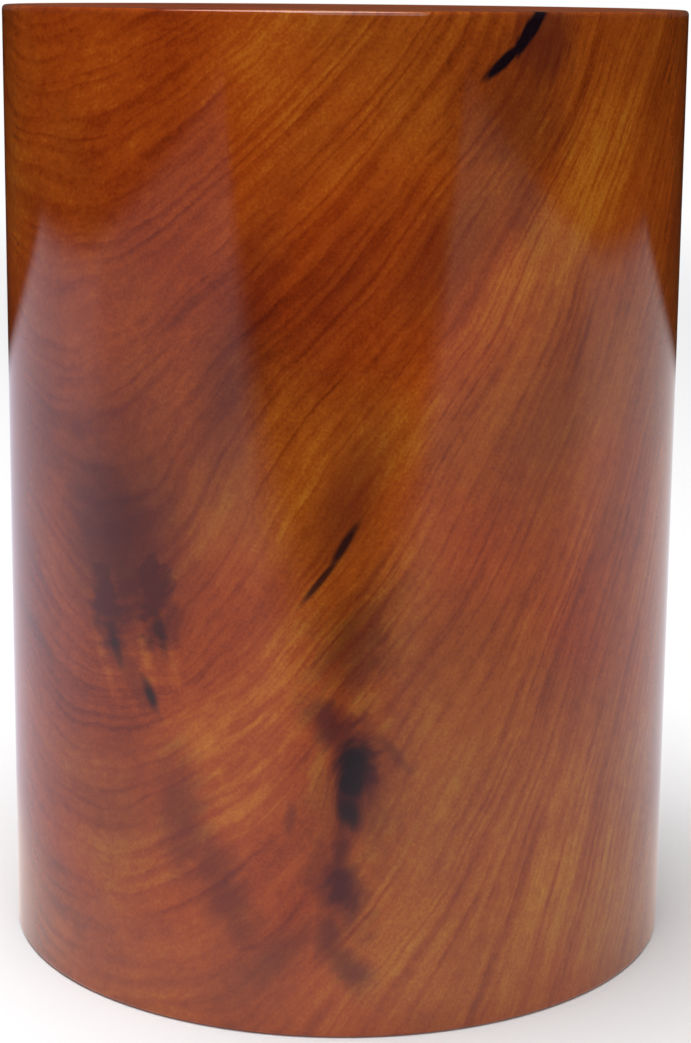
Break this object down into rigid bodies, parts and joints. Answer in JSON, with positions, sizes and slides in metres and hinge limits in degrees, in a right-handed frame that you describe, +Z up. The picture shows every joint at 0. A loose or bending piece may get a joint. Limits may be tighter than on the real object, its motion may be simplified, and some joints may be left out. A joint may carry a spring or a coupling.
{
  "type": "tea caddy",
  "caption": "Turned wooden tea caddy: straight-sided cup with a full-width slip-on lid, a neck sleeve, and an inner lid lifted by a small knob.",
  "frame": {"origin": "centre of the base, on the plane the foot ring stands on", "axes": "+Z up, along the axis that every piece is turned about; -Y is the side seen from the front"},
  "size_m": [0.082, 0.082, 0.114],
  "materials": {
    "figured_wood": "orange-brown figured hardwood with dark knots under a thick clear gloss lacquer",
    "sleeve_wood": "straight-grained hardwood, thin satin lacquer",
    "stopper_wood": "the same hardwood as the shells, satin lacquer"
  },
  "bodies": {
    "caddy": {"body_shell": "figured_wood", "neck_sleeve": "sleeve_wood"},
    "stopper": {"inner_lid": "stopper_wood", "inner_lid_knob": "stopper_wood"},
    "lid": {"lid_shell": "figured_wood"}
  },
  "joints": [
    {"name": "inner_lid_lift", "type": "slide", "parent": "caddy", "child": "stopper", "axis": [0, 0, 1], "range_m": [0, 0.03]},
    {"name": "lid_lift", "type": "slide", "parent": "stopper", "child": "lid", "axis": [0, 0, 1], "range_m": [0, 0.05]}
  ]
}
